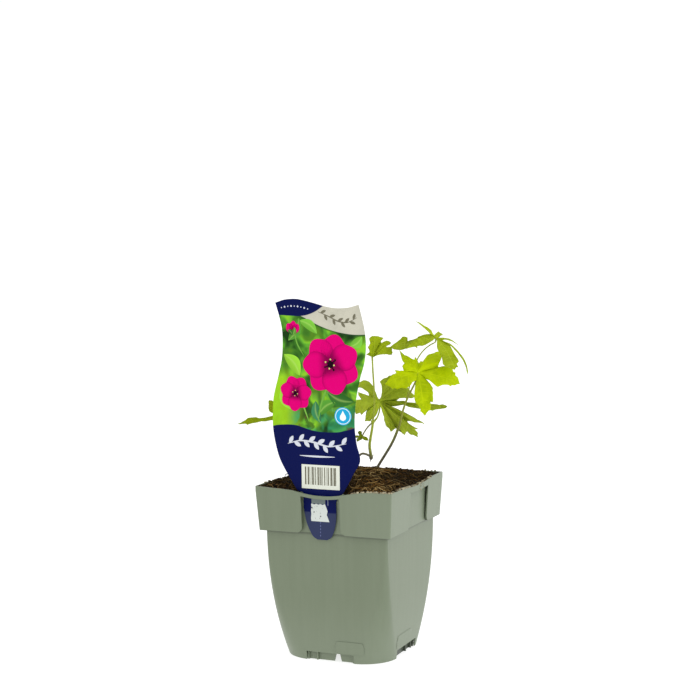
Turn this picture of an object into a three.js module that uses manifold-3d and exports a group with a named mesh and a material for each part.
// A hardy geranium in its 12 cm square pot: a young plant with chartreuse, deeply cut leaves on thin
// stalks, and a tall printed plant label in the pot's front label slot. Millimetres, +Z up. The origin is
// the middle of the pot's underside, on the surface that the pot stands on, and the label is on its -Y side.
import * as THREE from "three";
import { mergeVertices } from "three/addons/utils/BufferGeometryUtils.js";
import Module from "manifold-3d";

// Pot: one moulded piece, a tapered square body under a wider collar.
const POT_HEIGHT = 143;
const RIM_HALF = 60; // half the collar's width at the rim
const COLLAR_HEIGHT = 36.5;
const COLLAR_DRAFT = 2.4; // how much narrower each side of the collar is at its lower edge
const COLLAR_CORNER = 1.2;
const COLLAR_FOOT = POT_HEIGHT - COLLAR_HEIGHT;
const BODY_HALF = 53.3; // half the body's width just under the collar
const BODY_RIM_HALF = 54.4; // the body's wall carries on up behind the label recesses
const FOOT_HALF = 47.3;
const FOOT_CURVE = 2.5; // how late the walls start to curve in towards the foot
const BODY_CORNER = 1.6;
const FOOT_CORNER = 28.5;
const CORNER_CURVE = 1.8;
const WALL = 1.2;
const BODY_LEVELS = [0, 9, 20, 34, 52, 76, COLLAR_FOOT];

// Label recess near the middle of each collar side, with a strap across its top. The rim dips to the strap.
// The borders of each side's recess, from the -Y side anticlockwise.
const RECESSES = [
  [-19, 15],
  [-16, 24],
  [-19, 19],
  [-19, 19],
];
const RECESS_FILLET = 5;
const STRAP_HEIGHT = 2.8;
const STRAP_SINK = 0.8; // how far each end of a strap runs into the collar
const DIP_HALF = 42; // the dip ends this far from the middle of the side
const FRONT_DIP = 5;
const SIDE_DIP = 1.8;
const FRONT_SAG = 1.2; // the front rim's left half has sagged this much as well
const SAG_RUN = 23; // the sag's slope starts at the corner and is this long
const BACK_WALL_TOP = 139; // the wall behind a recess ends below the rim, where the soil spills over it

// Underside: a raised floor inside the skirt, cut-outs between the four corner feet, drain holes.
const FLOOR_HEIGHT = 7.3;
const CUTOUT_HALF = 21;
const RIB_SETBACK = 4.2; // from the foot's outer face to the wall behind a cut-out
const RIB_PLACES = [-18.5, -11, 18.5];
const NOTCH_PLACE = 6.6;
const NOTCH_TOP_HALF = 1.6;
const NOTCH_FOOT_HALF = 3.2;
const DRAIN_RADIUS = 4.5;
const DRAIN_PLACES = [
  [27, 27],
  [30, 0],
];
const CENTRE_PAD_RADIUS = 9;
// Plain raised plates low on two sides, by the side's turn about Z.
const PLATE_PROUD = 0.4;
const PLATES = [
  { turn: 0, left: 5.5, right: 27.5, low: 8.6, high: 18 },
  { turn: 90, left: -24, right: 8, low: 8.6, high: 19.4 },
];

// Potting soil.
const CLEARANCE = 0.3; // between neighbouring pieces
const SOIL_DROP = 1.2; // below the rim at the walls
const SOIL_MOUND = 5.2;
const SOIL_CELLS = 24;
const SOIL_CLOD = 0.75; // height of the lumps

// Plant label: one thin sheet with a waved outline, narrowing to a tongue behind the front strap.
const LABEL_THICKNESS = 0.6;
const LABEL_FACE = -55.6; // where the sheet's middle plane stands
const LABEL_BOW = 0.0016; // how fast its long edges curve back, per millimetre squared
// Height, left edge and right edge of each row, from the tongue's foot up.
const LABEL_ROWS = [
  [101.8, -6, 2.5],
  [104, -9.8, 6],
  [108, -12.4, 8],
  [114, -15.2, 9.7],
  [120, -16.9, 10.6],
  [127, -18, 10.7],
  [134, -18.2, 10.9],
  [139.4, -18.5, 15.5],
  [140.7, -23.2, 16.8],
  [148, -28.6, 21.1],
  [157, -34.9, 25.9],
  [167, -40.4, 31.3],
  [180, -44.2, 28.6],
  [190, -45.8, 27.3],
  [200, -46.1, 27.1],
  [215, -45, 28.4],
  [232, -40.3, 31.8],
  [246, -36.6, 35.8],
  [259, -35.5, 37.1],
  [272, -36, 36],
  [283, -38.8, 33.6],
];
// The waved top: its left and right ends, and its height at equal steps between them.
const LABEL_TOP_LEFT = -41.9;
const LABEL_TOP_RIGHT = 31.5;
const LABEL_TOP = [292.3, 295, 295.6, 294.2, 292, 289.6, 288.4, 288.9, 291.3];

// Leaf blades. A lobe's edge, from the notch beside it to its tip: shares of its reach and of its half width.
const BLADE_THICKNESS = 0.6;
const LOBE_EDGE = [
  [0.36, 0.7],
  [0.5, 0.84],
  [0.62, 1.0],
  [0.66, 0.74],
  [0.78, 0.84],
  [0.815, 0.52],
  [0.895, 0.5],
  [0.925, 0.25],
];
const LOBE_MIDRIB = [0.2, 0.36, 0.5, 0.64, 0.79, 0.91];
const NOTCH_SHARE = 0.33; // depth of the notch between two lobes, as a share of the shorter one
const SINUS_TURN = 30; // the outer edges of the last lobes stand this far round from their midribs
const SINUS_CLEAR = 8; // at least this far from the middle of the open side, in degrees
const SINUS_SHARE = 0.09;
const LOBE_ARCH = 0.07; // rise of the midrib's bow, as a share of its reach, unless a lobe states its own
const SIDE_FOLD = 0.16; // rise of a lobe's sides for each millimetre out from its midrib
const SEAT_GAP = 0.8; // between a stalk's end and the blade that it carries

// Each leaf has its hub, the way its upper side faces (azimuth 0 is -Y, 90 is +X) and its lobes in turn
// order. turn is anticlockwise from the blade's uphill line, droop is how far the tip hangs below the
// blade's plane, roll is a twist about the midrib, breadth is the full width as a share of reach, and notch
// is the distance from the hub to the notch that follows the lobe.
const FRONT_LEAF = {
  name: "front_leaf_blade",
  colour: 0xa9c413,
  hub: [49.5, 28, 230.5],
  facing: { azimuth: 25, elevation: 45 },
  lobes: [
    { turn: -172, reach: 38, droop: 26, roll: 0, breadth: 0.44, notch: 6 },
    { turn: -101, reach: 36.5, droop: 10, roll: 0, breadth: 0.56, notch: 17 },
    { turn: -33, reach: 35.5, droop: 8, roll: 0, breadth: 0.5, notch: 12 },
    { turn: 27, reach: 29, droop: 4, roll: 0, breadth: 0.46, notch: 12 },
    { turn: 100, reach: 30, droop: 17, roll: 0, breadth: 0.5 },
  ],
};
const TOP_LEAF = {
  name: "top_leaf_blade",
  colour: 0x9fb512,
  hub: [59.5, 45.5, 258.5],
  facing: { azimuth: 40, elevation: 65 },
  lobes: [
    { turn: -159, reach: 34, droop: 25, roll: 0, breadth: 0.5, notch: 7 },
    { turn: -134, reach: 41.5, droop: 34, roll: 0, breadth: 0.1, arch: 0.17, notch: 5 },
    { turn: -80, reach: 25, droop: 23, roll: 0, breadth: 0.16, notch: 4 },
    { turn: -34, reach: 21, droop: 10, roll: 0, breadth: 0.3, notch: 5 },
    { turn: 31, reach: 24, droop: -13, roll: 0, breadth: 0.2, notch: 5 },
    { turn: 81, reach: 40, droop: 16, roll: -10, breadth: 0.24, notch: 9 },
    { turn: 109, reach: 30, droop: 7, roll: -26, breadth: 0.27 },
  ],
};
const YOUNG_LEAF = {
  name: "young_leaf_blade",
  colour: 0x9db311,
  hub: [8, 29.5, 242],
  facing: { azimuth: 20, elevation: 35 },
  lobes: [
    { turn: -84, reach: 17.5, droop: -25, roll: 0, breadth: 0.3, notch: 8 },
    { turn: -56, reach: 20.5, droop: -18, roll: 0, breadth: 0.42, notch: 12 },
    { turn: -17, reach: 21, droop: -7, roll: 0, breadth: 0.56, notch: 12 },
    { turn: 12, reach: 17, droop: -14, roll: 0, breadth: 0.5, notch: 5 },
    { turn: 51, reach: 7, droop: -8, roll: 0, breadth: 0.4 },
  ],
};
const FOLDED_LEAF = {
  name: "folded_leaf_blade",
  colour: 0x7f9611,
  hub: [10.5, 38.5, 204],
  facing: { azimuth: 20, elevation: 25 },
  lobes: [
    { turn: -154, reach: 30, droop: 38, roll: 0, breadth: 0.44, notch: 22 },
    { turn: -128, reach: 46, droop: 30, roll: 0, breadth: 0.34, notch: 30 },
    { turn: -110, reach: 45, droop: 27, roll: 0, breadth: 0.22, notch: 12 },
    { turn: -91, reach: 60, droop: 15, roll: 0, breadth: 0.12, notch: 14 },
    { turn: -75, reach: 32, droop: 14, roll: 0, breadth: 0.56, notch: 13 },
    { turn: -23, reach: 22, droop: -9, roll: 0, breadth: 0.5, notch: 2.5 },
    { turn: 52, reach: 26.5, droop: -3, roll: 0, breadth: 0.3, notch: 7 },
    { turn: 104, reach: 23, droop: 16, roll: 0, breadth: 0.6, notch: 8 },
    { turn: 141, reach: 21, droop: 24, roll: 0, breadth: 0.48 },
  ],
};
const BRACT_LEAF = {
  name: "bract_leaf_blade",
  colour: 0x6b7f1c,
  hub: [-4, 31, 174],
  facing: { azimuth: 20, elevation: 45 },
  lobes: [
    { turn: -121, reach: 7.2, droop: 0, roll: 0, breadth: 0.4, notch: 2 },
    { turn: 10, reach: 7.3, droop: 10, roll: 0, breadth: 0.4, notch: 2 },
    { turn: 88, reach: 5.8, droop: 7, roll: 0, breadth: 0.4, notch: 2 },
    { turn: 153, reach: 6.1, droop: -5, roll: 0, breadth: 0.4 },
  ],
};
const SIDE_LEAF = {
  name: "side_leaf_blade",
  colour: 0x7f9611,
  hub: [-50, -21.5, 195.5],
  facing: { azimuth: 10, elevation: 65 },
  lobes: [
    { turn: -137, reach: 28, droop: 3, roll: 0, breadth: 0.45, notch: 9 },
    { turn: -79, reach: 34, droop: 8, roll: 0, breadth: 0.5, notch: 11 },
    { turn: -28, reach: 36, droop: 7, roll: 0, breadth: 0.5, notch: 11 },
    { turn: 6, reach: 37, droop: 0, roll: 0, breadth: 0.4, notch: 10 },
    { turn: 47, reach: 20.5, droop: -9, roll: 0, breadth: 0.8, notch: 8 },
    { turn: 110, reach: 39, droop: -3, roll: 0, breadth: 0.18, arch: 0, notch: 5 },
  ],
};
const LEAVES = [FRONT_LEAF, TOP_LEAF, YOUNG_LEAF, FOLDED_LEAF, BRACT_LEAF, SIDE_LEAF];

// Stalks, from their foot in the soil up to a few millimetres short of the hub they carry.
const STALK_SIDES = 8;
const STALK_STEP = 5; // length of one facet along a stalk
const HUB_APPROACH = 4; // the last stretch meets the blade square on
const FRONT_STALK = {
  name: "front_leaf_stalk",
  colour: 0x6c6a35,
  radius: 0.9,
  route: [
    [2.3, 38.5, 136],
    [8, 39.1, 147],
    [21.3, 41.2, 169],
    [27.8, 40.8, 184],
    [31.1, 39.3, 195],
    [35.1, 37.4, 204.5],
    [40.5, 35.5, 214],
    [46, 33.5, 223.5],
  ],
  leaf: FRONT_LEAF,
};
const TOP_STALK = {
  name: "top_leaf_stalk",
  colour: 0x7a7c38,
  radius: 0.75,
  route: [
    [0, 41, 136],
    [6.4, 41.5, 147.2],
    [19.9, 43.4, 169.5],
    [26.4, 43.1, 184.5],
    [30.6, 42.6, 196],
    [34.2, 41.8, 207],
    [38, 41, 221],
    [41, 40.8, 234],
    [44.3, 41.1, 244.4],
    [51.5, 43.8, 250.8],
  ],
  leaf: TOP_LEAF,
};
const SIDE_STALK = {
  name: "side_leaf_stalk",
  colour: 0x6c6a35,
  radius: 0.9,
  route: [
    [-14, 26, 136],
    [-17, 24, 148],
    [-27, 16, 165],
    [-38, 3, 180],
    [-47, -12, 189],
  ],
  leaf: SIDE_LEAF,
};
// One shoot carries three leaves: an arched runner, a stem that rises from its knee, and three stalks.
const SHOOT = {
  name: "shoot_stem",
  colour: 0x87933a,
  runner: {
    radius: 0.8,
    route: [
      [-11, 31, 136],
      [-10.5, 31, 147],
      [-8, 31, 154],
      [-3.5, 31, 159.2],
      [0, 31.5, 159.2],
      [4.4, 32.5, 157.2],
    ],
  },
  stem: {
    radius: 1.1,
    route: [
      [4.9, 32.6, 155.8],
      [3.5, 32.4, 166],
      [4.3, 32.3, 172],
      [6, 32.6, 181.5],
      [6.8, 32.8, 188.5],
    ],
  },
  youngStalk: {
    radius: 0.6,
    route: [
      [6.4, 32.8, 186],
      [8.4, 32.2, 200],
      [8.2, 31.9, 218],
      [7.6, 31.5, 232],
    ],
    leaf: YOUNG_LEAF,
  },
  foldedStalk: {
    radius: 0.65,
    route: [
      [6.4, 32.9, 185.5],
      [8.2, 38.3, 189.8],
      [8.9, 42.2, 195.5],
    ],
    leaf: FOLDED_LEAF,
  },
  bractStalk: {
    radius: 0.5,
    route: [
      [6.2, 32.8, 186.5],
      [1.5, 33.5, 182],
      [-2.5, 33.8, 176.5],
    ],
    leaf: BRACT_LEAF,
  },
};

const wasm = await Module();
wasm.setup();

/** A three.js geometry as a manifold-3d solid. */
function solidOf(geometry) {
  const bare = geometry.clone();
  bare.deleteAttribute("normal");
  bare.deleteAttribute("uv");
  const merged = mergeVertices(bare, 1e-4);
  return new wasm.Manifold(
    new wasm.Mesh({
      numProp: 3,
      vertProperties: new Float32Array(merged.attributes.position.array),
      triVerts: new Uint32Array(merged.index.array),
    }),
  );
}

/** A manifold-3d solid as a three.js geometry. */
function geometryOf(solid) {
  const mesh = solid.getMesh();
  const geometry = new THREE.BufferGeometry();
  geometry.setAttribute("position", new THREE.BufferAttribute(new Float32Array(mesh.vertProperties), 3));
  geometry.setIndex(new THREE.BufferAttribute(new Uint32Array(mesh.triVerts), 1));
  geometry.computeVertexNormals();
  return geometry;
}

/** A geometry from points and triangles that index them. */
function geometryFrom(points, triangles) {
  const geometry = new THREE.BufferGeometry();
  geometry.setAttribute("position", new THREE.Float32BufferAttribute(points.flat(), 3));
  geometry.setIndex(triangles.flat());
  return geometry;
}

/** A box solid between two corners. */
function box(low, high) {
  const size = high.map((value, axis) => value - low[axis]);
  const middle = high.map((value, axis) => (value + low[axis]) / 2);
  return solidOf(new THREE.BoxGeometry(...size).translate(...middle));
}

/** An upright cylinder solid. */
function cylinder(x, y, low, high, radius, sides) {
  const geometry = new THREE.CylinderGeometry(radius, radius, high - low, sides);
  return solidOf(geometry.rotateX(Math.PI / 2).translate(x, y, (low + high) / 2));
}

/** An outline in the XZ plane, pushed from y = near to y = far. */
function slab(outline, near, far) {
  const shape = new THREE.Shape(outline.map(([x, z]) => new THREE.Vector2(x, z)));
  const geometry = new THREE.ExtrudeGeometry(shape, { depth: far - near, bevelEnabled: false });
  return solidOf(geometry.rotateX(Math.PI / 2).translate(0, far, 0));
}

/** A solid on each of the pot's four sides, made for the -Y side and turned about Z. */
function onEachSide(make) {
  const solids = [0, 1, 2, 3].map((side) => make(side).rotate([0, 0, side * 90]));
  return solids.reduce((all, solid) => all.add(solid));
}

/** A square ring of points with round corners, anticlockwise. */
function roundedSquare(half, radius, z) {
  const steps = 6;
  const points = [];
  [0, 90, 180, 270].forEach((start) => {
    const corner = THREE.MathUtils.degToRad(start + 45);
    const reach = (half - radius) * Math.SQRT2;
    for (let i = 0; i <= steps; i++) {
      const angle = THREE.MathUtils.degToRad(start + (90 * i) / steps);
      const x = reach * Math.cos(corner) + radius * Math.cos(angle);
      const y = reach * Math.sin(corner) + radius * Math.sin(angle);
      points.push([x, y, z]);
    }
  });
  return points;
}

/** A closed solid lofted through rings of equal point count, lowest first. */
function loft(rings) {
  const count = rings[0].length;
  const points = rings.flat();
  const triangles = [];
  for (let ring = 0; ring + 1 < rings.length; ring++) {
    for (let i = 0; i < count; i++) {
      const a = ring * count + i;
      const b = ring * count + ((i + 1) % count);
      triangles.push([a, b, b + count], [a, b + count, a + count]);
    }
  }
  const last = (rings.length - 1) * count;
  for (let i = 1; i + 1 < count; i++) {
    triangles.push([0, i + 1, i], [last, last + i, last + i + 1]);
  }
  return solidOf(geometryFrom(points, triangles));
}

/** Half width and corner radius of the body's outside at a height. */
function bodySection(z) {
  const depth = Math.max(0, 1 - z / COLLAR_FOOT);
  const above = Math.max(0, (z - COLLAR_FOOT) / COLLAR_HEIGHT);
  return {
    half: BODY_HALF - (BODY_HALF - FOOT_HALF) * depth ** FOOT_CURVE + (BODY_RIM_HALF - BODY_HALF) * above,
    radius: BODY_CORNER + (FOOT_CORNER - BODY_CORNER) * depth ** CORNER_CURVE,
  };
}

/** The body's shape between two heights, taken in by inset. */
function bodyLoft(low, high, inset) {
  const inner = BODY_LEVELS.filter((z) => z > low + 1 && z < high - 1);
  return loft(
    [low, ...inner, high].map((z) => {
      const { half, radius } = bodySection(z);
      return roundedSquare(half - inset, Math.max(radius - inset, 0.8), z);
    }),
  );
}

/** The collar's shape between two heights, taken in by inset. */
function collarLoft(low, high, inset) {
  return loft(
    [low, high].map((z) => {
      const half = RIM_HALF - (COLLAR_DRAFT * (POT_HEIGHT - z)) / COLLAR_HEIGHT;
      return roundedSquare(half - inset, Math.max(COLLAR_CORNER - inset, 0.8), z);
    }),
  );
}

/** What is cut from the collar for the label recess of one side, widened and deepened by grow. */
function recessCutter(side, grow) {
  const [left, right] = RECESSES[side];
  const top = POT_HEIGHT + 9;
  const foot = COLLAR_FOOT - 3;
  const lip = COLLAR_FOOT + RECESS_FILLET;
  const border = (place, way) => {
    const line = [[place, top]];
    for (let i = 0; i <= 4; i++) {
      const angle = (Math.PI / 8) * i;
      const run = RECESS_FILLET * (1 - Math.cos(angle));
      line.push([place + way * run, lip - RECESS_FILLET * Math.sin(angle)]);
    }
    line.push([place + way * RECESS_FILLET, foot]);
    return line;
  };
  const outline = [...border(left - grow, -1), ...border(right + grow, 1).reverse()];
  return slab(outline, -RIM_HALF - 5, -(BODY_RIM_HALF - grow - 2));
}

/** How far a side's rim dips at a distance from its middle, with its left half's sag. */
function rimDip(x, depth, sag) {
  const slope = x < 0 ? sag * THREE.MathUtils.clamp((RIM_HALF + x) / SAG_RUN, 0, 1) : 0;
  return Math.max(slope, depth * Math.max(0, 1 - (x / DIP_HALF) ** 2) ** 2);
}

/** The dipped line of a rim between two places, lowered by drop. */
function dippedLine(from, to, steps, depth, sag, drop) {
  const line = [];
  for (let i = 0; i <= steps; i++) {
    const x = THREE.MathUtils.lerp(from, to, i / steps);
    line.push([x, POT_HEIGHT - drop - rimDip(x, depth, sag)]);
  }
  return line;
}

/** What the dip takes off the top of one side of the collar. */
function dipCutter(depth, sag) {
  const left = sag > 0 ? -RIM_HALF : -DIP_HALF;
  const outline = dippedLine(left, DIP_HALF, 24, depth, sag, 0);
  outline.push([DIP_HALF, POT_HEIGHT + 5], [left, POT_HEIGHT + 5]);
  return slab(outline, -RIM_HALF - 1, -RIM_HALF + 2 * WALL);
}

/** The strap across the top of one side's recess. */
function strap(side, depth) {
  const [left, right] = RECESSES[side];
  const line = (drop) => dippedLine(left - STRAP_SINK, right + STRAP_SINK, 12, depth, 0, drop);
  const upper = line(0.1);
  const lower = line(STRAP_HEIGHT).reverse();
  const face = RIM_HALF - (COLLAR_DRAFT * STRAP_HEIGHT) / COLLAR_HEIGHT;
  return slab([...upper, ...lower].reverse(), -face, -RIM_HALF + WALL);
}

/** The pot's raised floor, its centre pad, and the ribbed wall behind the cut-out of each side. */
function underside() {
  const { half } = bodySection(FLOOR_HEIGHT);
  const face = -(half - RIB_SETBACK);
  const high = FLOOR_HEIGHT + 0.4;
  const notch = [
    [NOTCH_PLACE - NOTCH_FOOT_HALF, -1],
    [NOTCH_PLACE + NOTCH_FOOT_HALF, -1],
    [NOTCH_PLACE + NOTCH_TOP_HALF, FLOOR_HEIGHT - 1],
    [NOTCH_PLACE - NOTCH_TOP_HALF, FLOOR_HEIGHT - 1],
  ];
  const walls = onEachSide(() => {
    let wall = box([-CUTOUT_HALF - 6, face, 0], [CUTOUT_HALF + 6, face + WALL, high]);
    RIB_PLACES.forEach((x) => {
      wall = wall.add(box([x - WALL / 2, face - 1.8, 0], [x + WALL / 2, face + 0.5, high]));
    });
    return wall.subtract(slab(notch, face - 3, face + 3));
  });
  return walls.add(cylinder(0, 0, 0, high, CENTRE_PAD_RADIUS, 20));
}

/** The whole pot. */
function potSolid() {
  const recesses = (grow) => onEachSide((side) => recessCutter(side, grow));
  let outside = collarLoft(COLLAR_FOOT, POT_HEIGHT, 0).subtract(recesses(0));
  outside = outside.add(bodyLoft(0, POT_HEIGHT, 0));
  PLATES.forEach(({ turn, left, right, low, high }) => {
    const plate = box([left, -FOOT_HALF - 5, low], [right, -FOOT_HALF + 6, high]).rotate([0, 0, turn]);
    outside = outside.add(plate.intersect(bodyLoft(0, POT_HEIGHT, -PLATE_PROUD)));
  });

  const under = bodyLoft(-1, FLOOR_HEIGHT, WALL);
  let inside = collarLoft(COLLAR_FOOT + WALL, POT_HEIGHT + 1, WALL);
  inside = inside.subtract(recesses(WALL));
  inside = inside.add(bodyLoft(FLOOR_HEIGHT + WALL, POT_HEIGHT + 1, WALL));
  inside = inside.add(collarLoft(BACK_WALL_TOP, POT_HEIGHT + 1, WALL));

  let pot = outside.subtract(inside).subtract(under);
  pot = pot.subtract(
    onEachSide(() =>
      box([-CUTOUT_HALF, -FOOT_HALF - 5, -1], [CUTOUT_HALF, -FOOT_HALF + 3, FLOOR_HEIGHT - 0.2]),
    ),
  );
  pot = pot.add(underside());
  DRAIN_PLACES.forEach(([x, y]) => {
    pot = pot.subtract(
      onEachSide(() => cylinder(x, y, FLOOR_HEIGHT - 1, FLOOR_HEIGHT + 3, DRAIN_RADIUS, 12)),
    );
  });
  const depth = (side) => (side === 0 ? FRONT_DIP : SIDE_DIP);
  pot = pot.subtract(onEachSide((side) => dipCutter(depth(side), side === 0 ? FRONT_SAG : 0)));
  return pot.add(onEachSide((side) => strap(side, depth(side))));
}

/** Height of the soil's surface: a low mound with lumps. */
function soilHeight(x, y) {
  const fall = (1 - (x / RIM_HALF) ** 2) * (1 - ((y - 6) / (RIM_HALF + 6)) ** 2);
  const lumps =
    Math.sin(x * 0.43 + 1.3 * Math.sin(y * 0.21)) * Math.cos(y * 0.39 + 0.8 * Math.sin(x * 0.17)) +
    0.6 * Math.sin(x * 0.91 - y * 0.57 + 1.7) +
    0.5 * Math.cos(x * 0.33 + y * 1.07);
  const dip = rimDip(x, FRONT_DIP + SOIL_DROP, FRONT_SAG) * THREE.MathUtils.smoothstep(-y, 44, 55);
  return POT_HEIGHT - SOIL_DROP - dip + SOIL_MOUND * Math.max(0, fall) + (SOIL_CLOD * lumps) / 2;
}

/** The soil: the pot's inside less a clearance, under a lumpy surface, with a hole for each rooted stalk. */
function soilSolid(holes) {
  const inset = WALL + CLEARANCE;
  const floor = FLOOR_HEIGHT + WALL + CLEARANCE;
  const top = POT_HEIGHT + 8;
  const spill = collarLoft(BACK_WALL_TOP + CLEARANCE, top, inset).subtract(recessCutter(0, inset));
  const recesses = onEachSide((side) => recessCutter(side, inset));
  let fill = collarLoft(COLLAR_FOOT + inset, top, inset).subtract(recesses);
  fill = fill.add(bodyLoft(floor, top, inset)).add(spill);
  const row = SOIL_CELLS + 1;
  const points = [];
  for (let j = 0; j < row; j++) {
    for (let i = 0; i < row; i++) {
      const x = RIM_HALF * ((2 * i) / SOIL_CELLS - 1);
      const y = RIM_HALF * ((2 * j) / SOIL_CELLS - 1);
      points.push([x, y, soilHeight(x, y)]);
    }
  }
  const layer = row * row;
  points.push(...points.map(([x, y]) => [x, y, 0]));
  const triangles = [];
  const quad = (a, b, c, d) => triangles.push([a, b, c], [a, c, d]);
  for (let j = 0; j < SOIL_CELLS; j++) {
    for (let i = 0; i < SOIL_CELLS; i++) {
      const a = j * row + i;
      quad(a, a + 1, a + row + 1, a + row);
      quad(layer + a, layer + a + row, layer + a + row + 1, layer + a + 1);
    }
  }
  for (let i = 0; i < SOIL_CELLS; i++) {
    const south = i;
    const north = SOIL_CELLS * row + i;
    const west = i * row;
    const east = west + SOIL_CELLS;
    quad(layer + south, layer + south + 1, south + 1, south);
    quad(north, north + 1, layer + north + 1, layer + north);
    quad(west, west + row, layer + west + row, layer + west);
    quad(layer + east, layer + east + row, east + row, east);
  }
  fill = fill.intersect(solidOf(geometryFrom(points, triangles)));
  return holes.reduce((soil, hole) => soil.subtract(hole), fill);
}

/** A flat or curved sheet given by its middle surface: both faces alike, closed round its edge. */
function sheetGeometry(points, triangles, thickness) {
  const normals = points.map(() => new THREE.Vector3());
  const corner = points.map((point) => new THREE.Vector3(...point));
  const sides = new Map();
  triangles.forEach(([a, b, c]) => {
    const normal = new THREE.Vector3()
      .subVectors(corner[b], corner[a])
      .cross(new THREE.Vector3().subVectors(corner[c], corner[a]));
    [a, b, c].forEach((i) => normals[i].add(normal));
    [[a, b], [b, c], [c, a]].forEach(([from, to]) => sides.set(`${from}_${to}`, [from, to]));
  });
  const offset = (scale) =>
    corner.map((point, i) => point.clone().addScaledVector(normals[i].clone().normalize(), scale).toArray());
  const count = points.length;
  const faces = triangles.flatMap(([a, b, c]) => [
    [a, b, c],
    [count + a, count + c, count + b],
  ]);
  sides.forEach(([from, to]) => {
    if (!sides.has(`${to}_${from}`)) {
      faces.push([from, count + from, count + to], [from, count + to, to]);
    }
  });
  return geometryFrom([...offset(thickness / 2), ...offset(-thickness / 2)], faces);
}

/** The label's sheet, a grid of rows between its left and right edges with a waved row on top. */
function labelGeometry() {
  const columns = LABEL_TOP.length - 1;
  const points = [];
  const addRow = (left, right, heightAt) => {
    for (let i = 0; i <= columns; i++) {
      const x = THREE.MathUtils.lerp(left, right, i / columns);
      points.push([x, LABEL_FACE + LABEL_BOW * x * x, heightAt(i)]);
    }
  };
  LABEL_ROWS.forEach(([z, left, right]) => addRow(left, right, () => z));
  addRow(LABEL_TOP_LEFT, LABEL_TOP_RIGHT, (i) => LABEL_TOP[i]);
  const row = columns + 1;
  const triangles = [];
  for (let j = 0; j < LABEL_ROWS.length; j++) {
    for (let i = 0; i < columns; i++) {
      const a = j * row + i;
      triangles.push([a, a + 1, a + row + 1], [a, a + row + 1, a + row]);
    }
  }
  return sheetGeometry(points, triangles, LABEL_THICKNESS);
}

/** The blade's normal, its uphill line and the line a quarter turn on from it. */
function bladeFrame({ azimuth, elevation }) {
  const az = THREE.MathUtils.degToRad(azimuth);
  const el = THREE.MathUtils.degToRad(elevation);
  const normal = new THREE.Vector3(
    Math.sin(az) * Math.cos(el),
    -Math.cos(az) * Math.cos(el),
    Math.sin(el),
  );
  const uphill = new THREE.Vector3(
    -Math.sin(az) * Math.sin(el),
    Math.cos(az) * Math.sin(el),
    Math.cos(el),
  );
  return { normal, uphill, across: new THREE.Vector3().crossVectors(normal, uphill) };
}

/** A direction in the blade's frame, by its turn and droop in degrees. */
function bladeDirection(frame, turn, droop) {
  const t = THREE.MathUtils.degToRad(turn);
  const d = THREE.MathUtils.degToRad(droop);
  return new THREE.Vector3()
    .addScaledVector(frame.uphill, Math.cos(d) * Math.cos(t))
    .addScaledVector(frame.across, Math.cos(d) * Math.sin(t))
    .addScaledVector(frame.normal, -Math.sin(d));
}

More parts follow.
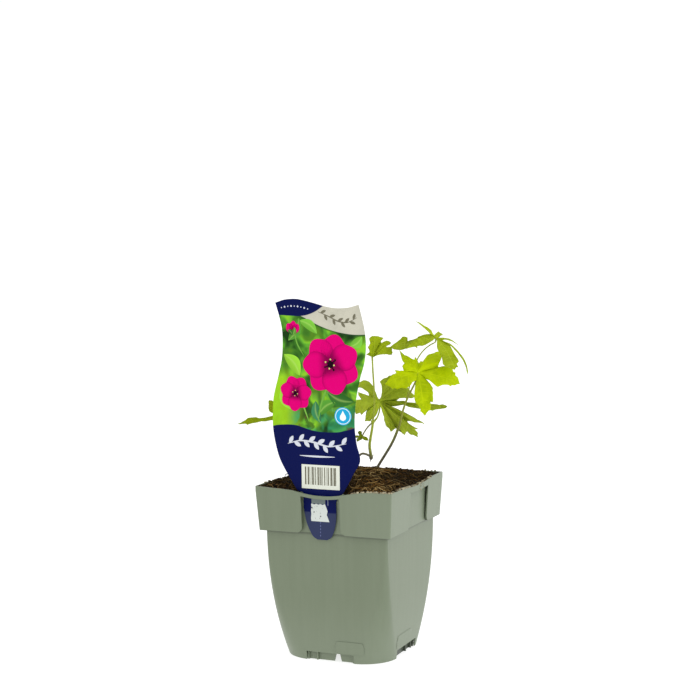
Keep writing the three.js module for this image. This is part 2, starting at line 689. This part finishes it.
/** One leaf blade: cut and toothed lobes round a hub, as a thin folded sheet. */
function bladeGeometry({ hub, facing, lobes }) {
  const frame = bladeFrame(facing);
  const centre = new THREE.Vector3(...hub);
  const points = [centre];
  const triangles = [];
  const add = (point) => points.push(point) - 1;
  const fromHub = (direction, distance) => add(centre.clone().addScaledVector(direction, distance));

  const parts = lobes.map((lobe) => {
    const along = bladeDirection(frame, lobe.turn, lobe.droop);
    const flat = new THREE.Vector3().crossVectors(frame.normal, along).normalize();
    const left = flat.applyAxisAngle(along, THREE.MathUtils.degToRad(lobe.roll));
    return { ...lobe, along, left, up: new THREE.Vector3().crossVectors(along, left) };
  });
  const place = (part, t, width) => {
    const arch = part.arch ?? LOBE_ARCH;
    const bow = 4 * arch * part.reach * t * (1 - t) + SIDE_FOLD * Math.abs(width);
    return centre
      .clone()
      .addScaledVector(part.along, part.reach * t)
      .addScaledVector(part.left, width)
      .addScaledVector(part.up, bow);
  };

  const first = parts[0];
  const last = parts.at(-1);
  const spread = Math.min(SINUS_TURN, (first.turn + 360 - last.turn) / 2 - SINUS_CLEAR);
  const sinusStart = fromHub(
    bladeDirection(frame, first.turn - spread, first.droop),
    first.reach * NOTCH_SHARE,
  );
  const sinusEnd = fromHub(
    bladeDirection(frame, last.turn + spread, last.droop),
    last.notch ?? last.reach * NOTCH_SHARE,
  );
  const sinusTurn = (first.turn + last.turn + 360) / 2;
  const sinusFloor = fromHub(bladeDirection(frame, sinusTurn, 0), SINUS_SHARE * first.reach);
  const notches = parts.slice(1).map((part, i) => {
    const before = parts[i];
    const middle = before.along.clone().add(part.along).normalize();
    return fromHub(middle, before.notch ?? NOTCH_SHARE * Math.min(before.reach, part.reach));
  });
  const rightNotch = [sinusStart, ...notches];
  const leftNotch = [...notches, sinusEnd];

  parts.forEach((part, i) => {
    const halfWidth = (part.breadth * part.reach) / 2;
    const tip = add(place(part, 1, 0));
    const ribShares = [0, ...LOBE_MIDRIB, 1];
    const rib = [0, ...LOBE_MIDRIB.map((t) => add(place(part, t, 0))), tip];
    [1, -1].forEach((side) => {
      const notch = side > 0 ? leftNotch[i] : rightNotch[i];
      const start = points[notch].distanceTo(centre) / part.reach;
      const steps = LOBE_EDGE.filter(([t]) => t > start + 0.05);
      const edge = [notch, ...steps.map(([t, w]) => add(place(part, t, side * w * halfWidth))), tip];
      const edgeShares = [start, ...steps.map(([t]) => t), 1];
      const face = (a, b, c) => triangles.push(side > 0 ? [a, b, c] : [a, c, b]);
      let a = 0;
      let b = 0;
      while (a < rib.length - 2 || b < edge.length - 2) {
        const stepRib = b >= edge.length - 2 || (a < rib.length - 2 && ribShares[a + 1] <= edgeShares[b + 1]);
        if (stepRib) {
          face(rib[a], rib[a + 1], edge[b]);
          a += 1;
        } else {
          face(rib[a], edge[b + 1], edge[b]);
          b += 1;
        }
      }
      face(rib[a], tip, edge[b]);
    });
  });
  triangles.push([0, sinusEnd, sinusFloor], [0, sinusFloor, sinusStart]);
  return sheetGeometry(
    points.map((point) => point.toArray()),
    triangles,
    BLADE_THICKNESS,
  );
}

/** A smooth route through points, ending square on to a leaf's blade if it carries one. */
function stalkCurve({ route, leaf }) {
  const points = route.map((point) => new THREE.Vector3(...point));
  if (leaf) {
    const { normal } = bladeFrame(leaf.facing);
    const hub = new THREE.Vector3(...leaf.hub);
    [HUB_APPROACH, BLADE_THICKNESS / 2 + SEAT_GAP].forEach((distance) => {
      points.push(hub.clone().addScaledVector(normal, -distance));
    });
  }
  return new THREE.CatmullRomCurve3(points, false, "centripetal");
}

/** A round tube along a stalk's route, with its radius grown by grow. */
function stalkTube(stalk, grow = 0) {
  const curve = stalkCurve(stalk);
  const section = new THREE.Shape();
  for (let i = 0; i < STALK_SIDES; i++) {
    const angle = (2 * Math.PI * i) / STALK_SIDES;
    const x = (stalk.radius + grow) * Math.cos(angle);
    const y = (stalk.radius + grow) * Math.sin(angle);
    if (i === 0) section.moveTo(x, y);
    else section.lineTo(x, y);
  }
  section.closePath();
  return new THREE.ExtrudeGeometry(section, {
    steps: Math.max(3, Math.ceil(curve.getLength() / STALK_STEP)),
    extrudePath: curve,
    bevelEnabled: false,
  });
}

/** The plain hole a rooted stalk stands in: the stalk's lower end, fatter and a little deeper. */
function stalkHole(stalk) {
  const [foot, next, third] = stalk.route.map((point) => new THREE.Vector3(...point));
  const below = foot.clone().addScaledVector(next.clone().sub(foot).normalize(), -CLEARANCE);
  const hole = { radius: stalk.radius, route: [below, foot, next, third].map((point) => point.toArray()) };
  return solidOf(stalkTube(hole, CLEARANCE + 0.1));
}

/** The three-leaved shoot: runner, stem and stalks as one solid. */
function shootSolid() {
  const { runner, stem, youngStalk, foldedStalk, bractStalk } = SHOOT;
  const pieces = [runner, stem, youngStalk, foldedStalk, bractStalk];
  return pieces.map((piece) => solidOf(stalkTube(piece))).reduce((all, piece) => all.add(piece));
}

/** A named mesh with its own material. */
function piece(name, geometry, colour, roughness) {
  const material = new THREE.MeshStandardMaterial({ color: colour, roughness, metalness: 0 });
  const mesh = new THREE.Mesh(geometry, material);
  mesh.name = name;
  return mesh;
}

const geranium = new THREE.Group();
geranium.name = "hardy_geranium";
const rooted = [FRONT_STALK, TOP_STALK, SIDE_STALK];
const holes = [...rooted, SHOOT.runner].map(stalkHole);
geranium.add(piece("pot", geometryOf(potSolid()), 0x8a9680, 0.55));
geranium.add(piece("potting_soil", geometryOf(soilSolid(holes)), 0x3a2415, 0.95));
geranium.add(piece("plant_label", labelGeometry(), 0x1c2a66, 0.3));
LEAVES.forEach((leaf) => geranium.add(piece(leaf.name, bladeGeometry(leaf), leaf.colour, 0.5)));
rooted.forEach((stalk) => geranium.add(piece(stalk.name, stalkTube(stalk), stalk.colour, 0.6)));
geranium.add(piece(SHOOT.name, geometryOf(shootSolid()), SHOOT.colour, 0.6));

export default geranium;
